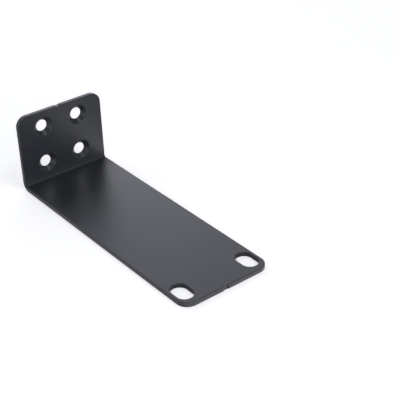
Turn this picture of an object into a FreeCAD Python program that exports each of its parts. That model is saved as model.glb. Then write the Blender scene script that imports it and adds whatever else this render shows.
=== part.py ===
# Rack mount ear bracket: one strip of sheet steel folded once into an L.
# Units are millimetres. The long plate lies flat with its underside at Z = 0, the short
# flange stands up at its -Y end, and X runs across the strip.
# The origin is the middle of the overall length and width, on the underside.
import FreeCAD, Part
import math
import os

import Sketcher

os.makedirs("parts", exist_ok=True)

NODE = "ear_bracket"
NEAR = 1e-4

# Driving dimensions: alias, value in millimetres or degrees, what it is
SIZES = [
    ("thickness", 2.0, "sheet thickness over the coating"),
    ("strip_width", 41.6, "width across the strip, one rack unit less clearance"),
    ("plate_length", 115.4, "flange's outer face to the plate's free end"),
    ("flange_height", 34.8, "plate's underside to the flange's top edge"),
    ("inner_bend_radius", 0.8, "inside of the fold, pressed in by the punch"),
    ("outer_bend_radius", 3.5, "outside of the fold, where the sheet has thinned"),
    ("plate_corner_radius", 5.1, "the plate's two free corners"),
    ("flange_corner_radius", 4.7, "the flange's two top corners"),
    ("edge_rounding", 0.25, "rounding of the coated sheet edges"),
    ("slot_spacing", 31.75, "rack screw slots, centre to centre across the strip"),
    ("slot_length", 10.5, "rack screw slot, end to end along the plate"),
    ("slot_width", 7.1, "rack screw slot, side to side"),
    ("slot_to_end", 8.2, "slot centre to the plate's free end"),
    ("screw_spacing_across", 17.4, "device screw holes, centre to centre across the strip"),
    ("screw_spacing_up", 17.4, "device screw holes, centre to centre up the flange"),
    ("screw_square_height", 18.7, "plate's underside to the middle of the four screw holes"),
    ("screw_hole_diameter", 5.2, "device screw hole at the flange's outer face"),
    ("countersink_angle", 90.0, "included angle of the countersinks"),
    ("countersink_land", 0.2, "straight wall left behind each countersink"),
    ("scar_width", 2.3, "notch left where a blank's holding tab was broken off"),
    ("scar_depth", 0.4, "depth of each notch"),
    ("plate_scar_offset", 1.3, "plate's notch, off the middle of the strip"),
    ("flange_scar_offset", 0.5, "flange's notch, off the middle of the strip"),
]


def make_sheet(doc):
    """The spreadsheet that holds every driving dimension."""
    sheet = doc.addObject("Spreadsheet::Sheet", "Sizes")
    for row, (alias, value, meaning) in enumerate(SIZES, start=1):
        sheet.set(f"A{row}", meaning)
        sheet.set(f"B{row}", str(value))
        sheet.setAlias(f"B{row}", alias)
    doc.recompute()
    return sheet


def new_sketch(body, name, role):
    """An empty sketch on one of the body's own origin planes."""
    plane = next(item for item in body.Origin.OriginFeatures if item.Role == role)
    sketch = body.newObject("Sketcher::SketchObject", name)
    sketch.AttachmentSupport = [(plane, "")]
    sketch.MapMode = "FlatFace"
    return sketch


def drive(sketch, name, formula, *constraint):
    """A dimension of a sketch that starts at its real value and follows the spreadsheet."""
    index = sketch.addConstraint(Sketcher.Constraint(*constraint))
    sketch.renameConstraint(index, name)
    sketch.setExpression(f"Constraints.{name}", formula)


def line(sketch, start, end):
    """A straight edge between two points of the sketch plane."""
    first, last = FreeCAD.Vector(*start, 0), FreeCAD.Vector(*end, 0)
    return sketch.addGeometry(Part.LineSegment(first, last))


def arc(sketch, centre, radius, start_angle, end_angle):
    """An arc that runs anticlockwise, its angles in degrees."""
    circle = Part.Circle(FreeCAD.Vector(*centre, 0), FreeCAD.Vector(0, 0, 1), radius)
    angles = [math.radians(angle) for angle in (start_angle, end_angle)]
    return sketch.addGeometry(Part.ArcOfCircle(circle, *angles))


def draw_fold(sketch, size):
    """The L section in the YZ plane, its fold tighter inside than outside."""
    back, front = -size.plate_length / 2, size.plate_length / 2
    inner, outer = size.inner_bend_radius, size.outer_bend_radius
    skin, top = back + size.thickness, size.flange_height
    inner_centre = (skin + inner, size.thickness + inner)
    outer_centre = (back + outer, outer)

    outer_face = line(sketch, (back, top), (back, outer))
    outer_bend = arc(sketch, outer_centre, outer, 180, 270)
    underside = line(sketch, (outer_centre[0], 0), (front, 0))
    free_end = line(sketch, (front, 0), (front, size.thickness))
    upper_side = line(sketch, (front, size.thickness), (inner_centre[0], size.thickness))
    inner_bend = arc(sketch, inner_centre, inner, 180, 270)
    inner_face = line(sketch, (skin, inner_centre[1]), (skin, top))
    top_edge = line(sketch, (skin, top), (back, top))

    joints = [
        ("Tangent", outer_face, 2, outer_bend, 1),
        ("Tangent", outer_bend, 2, underside, 1),
        ("Coincident", underside, 2, free_end, 1),
        ("Coincident", free_end, 2, upper_side, 1),
        ("Tangent", upper_side, 2, inner_bend, 2),
        ("Tangent", inner_bend, 1, inner_face, 1),
        ("Coincident", inner_face, 2, top_edge, 1),
        ("Coincident", top_edge, 2, outer_face, 1),
        ("Vertical", outer_face),
        ("Horizontal", underside),
        ("Vertical", free_end),
        ("Horizontal", upper_side),
        ("Vertical", inner_face),
        ("Horizontal", top_edge),
        ("PointOnObject", -1, 1, underside),
    ]
    for joint in joints:
        sketch.addConstraint(Sketcher.Constraint(*joint))
    drive(sketch, "plate_gauge", "Sizes.thickness", "DistanceY", free_end, 1, free_end, 2,
          size.thickness)
    drive(sketch, "flange_gauge", "Sizes.thickness", "DistanceX", top_edge, 2, top_edge, 1,
          size.thickness)
    drive(sketch, "inner_bend", "Sizes.inner_bend_radius", "Radius", inner_bend, inner)
    drive(sketch, "outer_bend", "Sizes.outer_bend_radius", "Radius", outer_bend, outer)
    drive(sketch, "reach", "Sizes.plate_length / 2", "DistanceX", -1, 1, free_end, 1, front)
    drive(sketch, "length", "Sizes.plate_length", "DistanceX", outer_face, 1, free_end, 1,
          size.plate_length)
    drive(sketch, "height", "Sizes.flange_height", "DistanceY", free_end, 1, outer_face, 1, top)


def draw_slot(sketch, size):
    """One oblong rack slot on the +X side, its long axis along the plate."""
    radius = size.slot_width / 2
    straight = size.slot_length - size.slot_width
    x = size.slot_spacing / 2
    y = size.plate_length / 2 - size.slot_to_end
    low, high = y - straight / 2, y + straight / 2

    far_end = arc(sketch, (x, high), radius, 0, 180)
    left_side = line(sketch, (x - radius, high), (x - radius, low))
    near_end = arc(sketch, (x, low), radius, 180, 360)
    right_side = line(sketch, (x + radius, low), (x + radius, high))
    middle = sketch.addGeometry(Part.Point(FreeCAD.Vector(x, y, 0)), True)

    joints = [
        ("Tangent", far_end, 2, left_side, 1),
        ("Tangent", left_side, 2, near_end, 1),
        ("Tangent", near_end, 2, right_side, 1),
        ("Tangent", right_side, 2, far_end, 1),
        ("Vertical", left_side),
        ("Equal", far_end, near_end),
        ("Symmetric", far_end, 3, near_end, 3, middle, 1),
    ]
    for joint in joints:
        sketch.addConstraint(Sketcher.Constraint(*joint))
    drive(sketch, "end_radius", "Sizes.slot_width / 2", "Radius", near_end, radius)
    drive(sketch, "straight", "Sizes.slot_length - Sizes.slot_width",
          "DistanceY", near_end, 3, far_end, 3, straight)
    drive(sketch, "across", "Sizes.slot_spacing / 2", "DistanceX", -1, 1, middle, 1, x)
    drive(sketch, "along", "Sizes.plate_length / 2 - Sizes.slot_to_end",
          "DistanceY", -1, 1, middle, 1, y)


def draw_screw_holes(sketch, size):
    """Four hole centres on a square, in the plane of the flange."""
    radius = size.screw_hole_diameter / 2
    for column, side in (("left", -1), ("right", 1)):
        for row, level in (("lower", -1), ("upper", 1)):
            x = side * size.screw_spacing_across / 2
            z = size.screw_square_height + level * size.screw_spacing_up / 2
            place = FreeCAD.Vector(x, z, 0)
            hole = sketch.addGeometry(Part.Circle(place, FreeCAD.Vector(0, 0, 1), radius))
            name = f"{column}_{row}"
            drive(sketch, f"{name}_radius", "Sizes.screw_hole_diameter / 2", "Radius", hole, radius)
            ends = (-1, 1, hole, 3) if side > 0 else (hole, 3, -1, 1)
            drive(sketch, f"{name}_across", "Sizes.screw_spacing_across / 2",
                  "DistanceX", *ends, abs(x))
            drive(sketch, f"{name}_height",
                  f"Sizes.screw_square_height + {level} * Sizes.screw_spacing_up / 2",
                  "DistanceY", -1, 1, hole, 3, z)


def draw_scar(sketch, size, edge, offset, edge_formula, offset_formula):
    """A shallow notch astride an outer edge that lies at a given height in the sketch."""
    half = size.scar_width / 2
    floor, mouth = edge - size.scar_depth, edge + size.scar_depth
    corners = [(offset - half, floor), (offset + half, floor),
               (offset + half, mouth), (offset - half, mouth)]
    sides = [line(sketch, corners[i], corners[(i + 1) % 4]) for i in range(4)]
    for i, side in enumerate(sides):
        sketch.addConstraint(Sketcher.Constraint("Coincident", side, 2, sides[(i + 1) % 4], 1))
        sketch.addConstraint(Sketcher.Constraint(("Horizontal", "Vertical")[i % 2], side))
    bottom, right = sides[0], sides[1]
    drive(sketch, "width", "Sizes.scar_width", "DistanceX", bottom, 1, bottom, 2, size.scar_width)
    drive(sketch, "rise", "2 * Sizes.scar_depth", "DistanceY", right, 1, right, 2, mouth - floor)
    drive(sketch, "floor", f"{edge_formula} - Sizes.scar_depth",
          "DistanceY", -1, 1, bottom, 1, floor)
    drive(sketch, "side", f"{offset_formula} + Sizes.scar_width / 2",
          "DistanceX", -1, 1, bottom, 2, offset + half)


def cut_through(body, name, sketch):
    """A pocket that goes right through on both sides of its sketch."""
    pocket = body.newObject("PartDesign::Pocket", name)
    pocket.Profile = sketch
    pocket.Type = "ThroughAll"
    pocket.Midplane = True
    return pocket


def round_edges(body, name, chosen, formula):
    """A fillet on the edges of the body's present shape that pass the test."""
    base = body.Tip
    names = [f"Edge{i}" for i, edge in enumerate(base.Shape.Edges, start=1) if chosen(edge)]
    fillet = body.newObject("PartDesign::Fillet", name)
    fillet.Base = (base, names)
    fillet.setExpression("Radius", formula)
    return fillet


def is_straight_along(edge, direction):
    """True for a straight edge parallel to a direction."""
    if edge.Curve.TypeId != "Part::GeomLine":
        return False
    return abs(abs(edge.tangentAt(edge.FirstParameter).dot(direction)) - 1) < NEAR


def is_skin(face, size):
    """True for the two broad sides of the sheet: flat plate, fold and flange."""
    surface = face.Surface
    if surface.TypeId == "Part::GeomCylinder":
        return abs(abs(surface.Axis.x) - 1) < NEAR
    if surface.TypeId != "Part::GeomPlane":
        return False
    back = -size.plate_length / 2
    point = face.CenterOfMass
    flat = abs(abs(surface.Axis.z) - 1) < NEAR
    upright = abs(abs(surface.Axis.y) - 1) < NEAR
    on_plate = flat and min(abs(point.z), abs(point.z - size.thickness)) < NEAR
    on_flange = upright and min(abs(point.y - back), abs(point.y - back - size.thickness)) < NEAR
    return on_plate or on_flange


def is_sheet_edge(edge, shape, size):
    """True where a broad side of the sheet ends at a cut edge that is thick enough to round."""
    faces = shape.ancestorsOfType(edge, Part.Face)
    skins = [face for face in faces if is_skin(face, size)]
    if len(faces) != 2 or len(skins) != 1:
        return False
    back = -size.plate_length / 2
    on_outer_face = abs(edge.BoundBox.YMin - back) < NEAR and abs(edge.BoundBox.YMax - back) < NEAR
    return not (on_outer_face and edge.isClosed())


def make_bracket(doc, size):
    """The folded strip: section, corners, slots, countersunk holes, rounding and tab scars."""
    body = doc.addObject("PartDesign::Body", NODE)
    body.Label = NODE
    body.Placement = FreeCAD.Placement()

    section = new_sketch(body, "FoldSection", "YZ_Plane")
    draw_fold(section, size)
    strip = body.newObject("PartDesign::Pad", "FoldedStrip")
    strip.Profile = section
    strip.Midplane = True
    strip.setExpression("Length", "Sizes.strip_width")
    doc.recompute()

    upright, along = FreeCAD.Vector(0, 0, 1), FreeCAD.Vector(0, 1, 0)
    round_edges(body, "PlateCorners", lambda edge: is_straight_along(edge, upright)
                and abs(edge.CenterOfMass.y - size.plate_length / 2) < NEAR,
                "Sizes.plate_corner_radius")
    doc.recompute()
    round_edges(body, "FlangeCorners", lambda edge: is_straight_along(edge, along)
                and abs(edge.CenterOfMass.z - size.flange_height) < NEAR,
                "Sizes.flange_corner_radius")
    doc.recompute()

    slot = new_sketch(body, "RackSlotOutline", "XY_Plane")
    draw_slot(slot, size)
    first_slot = cut_through(body, "RackSlot", slot)
    doc.recompute()
    pair = body.newObject("PartDesign::Mirrored", "RackSlotPair")
    pair.Originals = [first_slot]
    mirror = next(item for item in body.Origin.OriginFeatures if item.Role == "YZ_Plane")
    pair.MirrorPlane = (mirror, [""])
    body.Tip = pair
    doc.recompute()

    centres = new_sketch(body, "ScrewHoleCentres", "XZ_Plane")
    centres.setExpression("AttachmentOffset.Base.z", "Sizes.plate_length / 2 - Sizes.thickness")
    draw_screw_holes(centres, size)
    doc.recompute()
    holes = body.newObject("PartDesign::Hole", "CountersunkHoles")
    holes.Profile = centres
    holes.Reversed = True
    doc.recompute()
    holes.DepthType = "ThroughAll"
    holes.DrillPoint = "Flat"
    holes.HoleCutType = "Countersink"
    holes.setExpression("Diameter", "Sizes.screw_hole_diameter")
    holes.setExpression("HoleCutCountersinkAngle", "Sizes.countersink_angle")
    holes.setExpression("HoleCutDiameter",
                        "Sizes.screw_hole_diameter + 2 * (Sizes.thickness - Sizes.countersink_land)"
                        " * tan(Sizes.countersink_angle * 1deg / 2)")
    doc.recompute()

    shape = body.Tip.Shape
    round_edges(body, "SheetEdges", lambda edge: is_sheet_edge(edge, shape, size),
                "Sizes.edge_rounding")
    doc.recompute()

    scars = [
        ("PlateTabScar", "XY_Plane", size.plate_length / 2, size.plate_scar_offset,
         "Sizes.plate_length / 2", "Sizes.plate_scar_offset"),
        ("FlangeTabScar", "XZ_Plane", size.flange_height, size.flange_scar_offset,
         "Sizes.flange_height", "Sizes.flange_scar_offset"),
    ]
    for name, role, *places in scars:
        outline = new_sketch(body, f"{name}Outline", role)
        draw_scar(outline, size, *places)
        cut_through(body, name, outline)
        doc.recompute()
    return body


def check(doc, parts):
    """Stops if anything in the document failed or a part is empty or broken."""
    failed = [item.Name for item in doc.Objects
              if "Invalid" in item.State or "Error" in item.State]
    if failed:
        raise RuntimeError(f"failed objects: {failed}")
    loose = [item.Name for item in doc.Objects
             if item.TypeId == "Sketcher::SketchObject" and not item.FullyConstrained]
    if loose:
        raise RuntimeError(f"sketches that aren't fully constrained: {loose}")
    for part in parts:
        if part.Shape.isNull() or not part.Shape.isValid() or len(part.Shape.Solids) != 1:
            raise RuntimeError(f"{part.Label} isn't one sound solid")


def main():
    doc = FreeCAD.newDocument("EarBracket")
    size = make_sheet(doc)
    parts = [make_bracket(doc, size)]
    check(doc, parts)
    for part in parts:
        part.Shape.exportStep(f"parts/{part.Label}.step")
        box = part.Shape.optimalBoundingBox(False, False)
        print(f"{part.Label}: {box.XLength:.2f} x {box.YLength:.2f} x {box.ZLength:.2f} mm,"
              f" {part.Shape.Volume:.1f} mm3, {len(part.Shape.Faces)} faces")


main()
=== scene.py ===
import math

import bpy
from mathutils import Matrix, Vector


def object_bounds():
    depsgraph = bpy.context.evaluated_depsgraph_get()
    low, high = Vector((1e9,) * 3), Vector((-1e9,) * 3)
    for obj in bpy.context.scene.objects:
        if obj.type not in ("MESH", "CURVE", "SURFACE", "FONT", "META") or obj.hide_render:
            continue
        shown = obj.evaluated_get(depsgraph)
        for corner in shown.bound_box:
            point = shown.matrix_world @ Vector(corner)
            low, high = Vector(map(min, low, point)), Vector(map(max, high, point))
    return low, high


MM = 0.001
ORIGIN = (0.0, 0.0, 0.0)
WHITE = (1.0, 1.0, 1.0)

# Camera, in millimetres and degrees, in the bracket's own frame
CAMERA_TARGET = (-31.56, 0.57, 0.0)
CAMERA_DISTANCE = 449.85
CAMERA_AZIMUTH = 142.53
CAMERA_ELEVATION = 31.47
CAMERA_ROLL = -2.0
SENSOR_WIDTH = 36.0
FOCAL_LENGTH = 94.72

# Powder coat: its colour and gloss, and faint patches where it is paler and less glossy. The range is
# the patches' noise values between which the gloss changes.
COAT_COLOUR = (0.0252, 0.0265, 0.0308)
COAT_PALER = (0.0298, 0.0312, 0.0360)
COAT_ROUGHNESS = 0.355
COAT_ROUGHNESS_SPREAD = 0.03
COAT_IOR = 1.5
PATCH_SIZE = 9.0
PATCH_DETAIL = 3.0
PATCH_RANGE = (0.3, 0.7)

# Bumps in the coat: orange peel, and a finer grain in it, with sizes and heights in millimetres
PEEL_SIZE = 0.9
PEEL_DETAIL = 1.0
PEEL_HEIGHT = 0.015
GRAIN_SIZE = 0.18
GRAIN_DETAIL = 2.0
GRAIN_HEIGHT = 0.005

# The coat turns rougher towards the inside of the fold, where less powder reaches: how far the inner
# bend's middle lies in from the flange's outer face and the underside, how far along the plate and up
# the flange this reaches, how much it adds in the fold, and the power with which it falls off
FOLD_INSET = 2.8
FOLD_REACH = (34.0, 9.0)
FOLD_EXTRA_ROUGHNESS = 0.42
FOLD_FALL = 4.5

# Softboxes: azimuth, elevation, distance, width, height in degrees and millimetres, and brightness,
# where 1 is white. Azimuths turn as the camera's does, and each softbox faces the bracket.
SOFTBOXES = {
    "back_softbox": (352.0, 30.0, 900.0, 1400.0, 850.0, 1.09),
    "back_low_softbox": (330.0, 9.0, 900.0, 450.0, 250.0, 3.15),
    "front_low_softbox": (170.0, 12.0, 420.0, 500.0, 150.0, 2.9),
    "left_low_softbox": (120.0, 17.0, 450.0, 110.0, 110.0, 2.1),
    "front_right_softbox": (200.0, 44.0, 450.0, 110.0, 110.0, 3.0),
    "high_right_softbox": (200.0, 64.0, 450.0, 110.0, 110.0, 5.4),
    "top_softbox": (160.0, 80.0, 700.0, 400.0, 400.0, 0.5),
}
LAMP_COLOUR = (0.97, 0.98, 1.05)

# Surroundings: brightness and colour, and the heights between which the white backdrop fades in towards
# the horizon, each the sine of its angle above it
SURROUNDINGS = 0.17
SURROUNDINGS_COLOUR = (0.92, 0.98, 1.2)
BACKDROP_FADE = (0.22, 0.16)

# Floor: size in millimetres, colour, and how much white the camera sees added to it. Further out, where
# the softboxes don't reach, that rises to full white, between two values of nearness to the middle,
# which is 1 in the middle and 0 at the reach.
FLOOR_SIZE = 24000.0
FLOOR_COLOUR = (0.86, 0.85, 0.82)
FLOOR_WHITENESS = 0.53
FAR_REACH = 1200.0
FAR_FADE = (0.7, 0.35)

# The floor in reflections carries a painted pool of light: the white glow painted in front of the free end
# and on the camera's right and, weaker, on its left; the width over which it sets in at the bracket's
# outline, inside which the floor is left dark as a painted shadow; and the reach in X and Y of the oval
# pool that holds it, with the two values of nearness between which it fades in
PAINTED_LIGHT_IN_FRONT = 1.0
PAINTED_LIGHT_RIGHT = 1.0
PAINTED_LIGHT_LEFT = 0.26
PAINTED_SHADOW_EDGE = 3.0
PAINTED_POOL_REACH = (46.0, 120.0)
PAINTED_POOL_FADE = (0.14, 0.24)


def new_tree(owner):
    """The owner's node tree, emptied."""
    owner.use_nodes = True
    owner.node_tree.nodes.clear()
    return owner.node_tree


def add(tree, kind, inputs=None, **settings):
    """A node with its settings and its inputs, each a number, a colour or another node's output."""
    node = tree.nodes.new(kind)
    for name, value in settings.items():
        setattr(node, name, value)
    for name, value in (inputs or {}).items():
        if isinstance(value, bpy.types.NodeSocket):
            tree.links.new(value, node.inputs[name])
        elif isinstance(value, tuple) and len(value) == 3 and node.inputs[name].type == "RGBA":
            node.inputs[name].default_value = (*value, 1.0)
        else:
            node.inputs[name].default_value = value
    return node


def math_node(tree, operation, *values):
    """The result of a sum, product or other operation on numbers."""
    return add(tree, "ShaderNodeMath", dict(enumerate(values)), operation=operation).outputs["Value"]


def ramp(tree, value, start, end, first=0.0, last=1.0):
    """A value's way from a start, where it gives the first result, to an end, where it gives the last."""
    inputs = {"Value": value, "From Min": start, "From Max": end, "To Min": first, "To Max": last}
    return add(tree, "ShaderNodeMapRange", inputs).outputs["Result"]


def nearness(tree, place, middle, reach):
    """How near a place is to a middle: 1 there and 0 at the reach. An axis with no reach doesn't count."""
    scale = tuple(1 / (size * MM) if size else 0.0 for size in reach)
    shift = tuple(-at * MM * factor for at, factor in zip(middle, scale))
    scaled = add(tree, "ShaderNodeMapping", {"Vector": place, "Location": shift, "Scale": scale})
    inputs = {"Vector": scaled.outputs["Vector"]}
    return add(tree, "ShaderNodeTexGradient", inputs, gradient_type="SPHERICAL").outputs["Fac"]


def noise(tree, place, size, detail):
    """A noise whose lumps are about the given size across, in millimetres."""
    inputs = {"Vector": place, "Scale": 1.0 / (size * MM), "Detail": detail}
    return add(tree, "ShaderNodeTexNoise", inputs).outputs["Fac"]


def bump(tree, lumps, height, finer=None):
    """The normal of a surface with lumps of a height in millimetres, over a finer bump where given."""
    node = add(tree, "ShaderNodeBump", {"Height": lumps, "Distance": height * MM})
    if finer:
        tree.links.new(finer, node.inputs["Normal"])
    return node.outputs["Normal"]


def blend_colours(tree, factor, first, second):
    """The colour between two, by a factor from 0 to 1."""
    mix = add(tree, "ShaderNodeMix", {0: factor}, data_type="RGBA")
    for name, colour in (("A_Color", first), ("B_Color", second)):
        socket = next(item for item in mix.inputs if item.identifier == name)
        socket.default_value = (*colour, 1.0)
    return next(item for item in mix.outputs if item.identifier == "Result_Color")


def coat_roughness(tree, place, patches, box):
    """The coat's roughness, which changes a little with the patches and rises in the fold."""
    glossiest = COAT_ROUGHNESS - COAT_ROUGHNESS_SPREAD
    dullest = COAT_ROUGHNESS + COAT_ROUGHNESS_SPREAD
    open_coat = ramp(tree, patches, *PATCH_RANGE, glossiest, dullest)

    low = box[0] / MM
    fold_middle = (0.0, low.y + FOLD_INSET, low.z + FOLD_INSET)
    near_fold = nearness(tree, place, fold_middle, (0.0, *FOLD_REACH))
    in_fold = math_node(tree, "POWER", near_fold, FOLD_FALL)
    return math_node(tree, "MULTIPLY_ADD", in_fold, FOLD_EXTRA_ROUGHNESS, open_coat)


def powder_coat(box):
    """Satin black powder coat: orange peel, a finer grain, and faint patches of gloss and shade."""
    material = bpy.data.materials.new("black_powder_coat")
    tree = new_tree(material)
    place = add(tree, "ShaderNodeTexCoord").outputs["Object"]

    patches = noise(tree, place, PATCH_SIZE, PATCH_DETAIL)
    shade = blend_colours(tree, patches, COAT_COLOUR, COAT_PALER)
    roughness = coat_roughness(tree, place, patches, box)

    grain = bump(tree, noise(tree, place, GRAIN_SIZE, GRAIN_DETAIL), GRAIN_HEIGHT)
    peel = bump(tree, noise(tree, place, PEEL_SIZE, PEEL_DETAIL), PEEL_HEIGHT, grain)

    shader = add(tree, "ShaderNodeBsdfPrincipled",
                 {"Base Color": shade, "Roughness": roughness, "IOR": COAT_IOR, "Normal": peel})
    add(tree, "ShaderNodeOutputMaterial", {"Surface": shader.outputs["BSDF"]})
    return material


def dress_bracket(node, box):
    """The CAD bracket keeps its mesh and gets the powder coat."""
    node.data.materials.clear()
    node.data.materials.append(powder_coat(box))


def is_mirrored(tree, ray):
    """1 where a ray comes from a reflection or through glass, and 0 elsewhere."""
    return math_node(tree, "MAXIMUM", ray["Is Glossy Ray"], ray["Is Transmission Ray"])


def painted_floor_light(tree, place, box):
    """A painted pool of light for reflections: white in front of and beside the bracket, painted shadow
    under it.
    """
    low, high = box
    edge = PAINTED_SHADOW_EDGE * MM
    axes = add(tree, "ShaderNodeSeparateXYZ", {"Vector": place}).outputs
    # Painted shadow under the bracket, painted light round it: brightest in front and on the right, weaker
    # on the left.
    in_front = ramp(tree, axes["Y"], high.y - edge, high.y, last=PAINTED_LIGHT_IN_FRONT)
    on_the_right = ramp(tree, axes["X"], low.x, low.x - edge, last=PAINTED_LIGHT_RIGHT)
    on_the_left = ramp(tree, axes["X"], high.x - edge, high.x, last=PAINTED_LIGHT_LEFT)
    beside = math_node(tree, "MAXIMUM", on_the_right, on_the_left)
    around = math_node(tree, "MAXIMUM", in_front, beside)
    near = nearness(tree, place, ORIGIN, (*PAINTED_POOL_REACH, 0.0))
    return math_node(tree, "MULTIPLY", around, ramp(tree, near, *PAINTED_POOL_FADE))


def floor_paper_and_painted_light(box):
    """Pale paper, with white added for the camera, and a painted pool of light and shadow in reflections.
    """
    material = bpy.data.materials.new("floor_paper_and_painted_light")
    tree = new_tree(material)
    place = add(tree, "ShaderNodeTexCoord").outputs["Object"]
    ray = add(tree, "ShaderNodeLightPath").outputs

    near = nearness(tree, place, ORIGIN, (FAR_REACH, FAR_REACH, 0.0))
    to_camera = ramp(tree, near, *FAR_FADE, FLOOR_WHITENESS, 1.0)
    seen = math_node(tree, "MULTIPLY", ray["Is Camera Ray"], to_camera)
    # Painted light and shadow, seen only in reflections: the pool of glow round the bracket and none under
    # it.
    painted_pool = painted_floor_light(tree, place, box)
    whiteness = math_node(tree, "MULTIPLY_ADD", is_mirrored(tree, ray), painted_pool, seen)

    paper = add(tree, "ShaderNodeBsdfDiffuse", {"Color": FLOOR_COLOUR})
    glow = add(tree, "ShaderNodeEmission", {"Color": WHITE, "Strength": whiteness})
    lit_paper = add(tree, "ShaderNodeAddShader", {0: paper.outputs["BSDF"], 1: glow.outputs["Emission"]})
    add(tree, "ShaderNodeOutputMaterial", {"Surface": lit_paper.outputs["Shader"]})
    return material


def make_floor(box):
    """A wide pale floor, nearly white to the camera, that keeps the bracket's soft shadow."""
    half = FLOOR_SIZE * MM / 2
    mesh = bpy.data.meshes.new("floor")
    corners = [(-half, -half, 0), (half, -half, 0), (half, half, 0), (-half, half, 0)]
    mesh.from_pydata(corners, [], [(0, 1, 2, 3)])
    mesh.materials.append(floor_paper_and_painted_light(box))
    floor = bpy.data.objects.new("floor", mesh)
    bpy.context.scene.collection.objects.link(floor)


def make_world():
    """Dim, even surroundings, with a white backdrop near the horizon for the camera and in reflections."""
    world = bpy.data.worlds.new("studio")
    bpy.context.scene.world = world
    tree = new_tree(world)
    place = add(tree, "ShaderNodeTexCoord").outputs["Generated"]
    height = add(tree, "ShaderNodeSeparateXYZ", {"Vector": place}).outputs["Z"]
    ray = add(tree, "ShaderNodeLightPath").outputs
    shown = math_node(tree, "MAXIMUM", ray["Is Camera Ray"], is_mirrored(tree, ray))
    whiteness = math_node(tree, "MULTIPLY", shown, ramp(tree, height, *BACKDROP_FADE))

    dim = add(tree, "ShaderNodeBackground", {"Color": SURROUNDINGS_COLOUR, "Strength": SURROUNDINGS})
    backdrop = add(tree, "ShaderNodeBackground", {"Color": WHITE, "Strength": 1.0})
    studio = add(tree, "ShaderNodeMixShader",
                 {0: whiteness, 1: dim.outputs["Background"], 2: backdrop.outputs["Background"]})
    add(tree, "ShaderNodeOutputWorld", {"Surface": studio.outputs["Shader"]})


def direction(azimuth, elevation):
    """The unit vector towards a place: azimuth 0 is on the -Y side and it turns towards +X."""
    azimuth, elevation = math.radians(azimuth), math.radians(elevation)
    return Vector((math.sin(azimuth) * math.cos(elevation),
                   -math.cos(azimuth) * math.cos(elevation),
                   math.sin(elevation)))


def make_softboxes():
    """Area lamps that face the bracket and that the camera doesn't see."""
    for name, (azimuth, elevation, distance, width, height, brightness) in SOFTBOXES.items():
        data = bpy.data.lights.new(name, "AREA")
        data.shape = "RECTANGLE"
        data.size = width * MM
        data.size_y = height * MM
        data.energy = brightness * math.pi * data.size * data.size_y
        data.color = LAMP_COLOUR
        lamp = bpy.data.objects.new(name, data)
        towards = direction(azimuth, elevation)
        turn = towards.to_track_quat("Z", "Y").to_matrix().to_4x4()
        lamp.matrix_world = Matrix.Translation(towards * distance * MM) @ turn
        lamp.visible_camera = False
        bpy.context.scene.collection.objects.link(lamp)


def make_camera():
    """The photograph's view, with the roll turning the picture."""
    back = direction(CAMERA_AZIMUTH, CAMERA_ELEVATION)
    azimuth, roll = math.radians(CAMERA_AZIMUTH), math.radians(CAMERA_ROLL)
    right = Vector((math.cos(azimuth), math.sin(azimuth), 0.0))
    upward = back.cross(right)
    rolled_right = math.cos(roll) * right + math.sin(roll) * upward
    rolled_up = math.cos(roll) * upward - math.sin(roll) * right
    turn = Matrix((rolled_right, rolled_up, back)).transposed().to_4x4()

    data = bpy.data.cameras.new("camera")
    data.sensor_width = SENSOR_WIDTH
    data.lens = FOCAL_LENGTH
    camera = bpy.data.objects.new("camera", data)
    place = (Vector(CAMERA_TARGET) + back * CAMERA_DISTANCE) * MM
    camera.matrix_world = Matrix.Translation(place) @ turn
    bpy.context.scene.collection.objects.link(camera)
    bpy.context.scene.camera = camera


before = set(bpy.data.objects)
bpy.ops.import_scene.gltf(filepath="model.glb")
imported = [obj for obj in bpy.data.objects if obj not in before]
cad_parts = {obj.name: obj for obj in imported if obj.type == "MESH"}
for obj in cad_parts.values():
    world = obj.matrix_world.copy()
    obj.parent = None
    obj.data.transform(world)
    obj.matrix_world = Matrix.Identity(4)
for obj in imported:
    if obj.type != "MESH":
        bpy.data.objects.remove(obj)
cad_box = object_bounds()
bpy.context.scene.view_settings.view_transform = "Standard"
make_camera()
make_world()
make_softboxes()
make_floor(cad_box)
dress_bracket(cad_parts["ear_bracket"], cad_box)
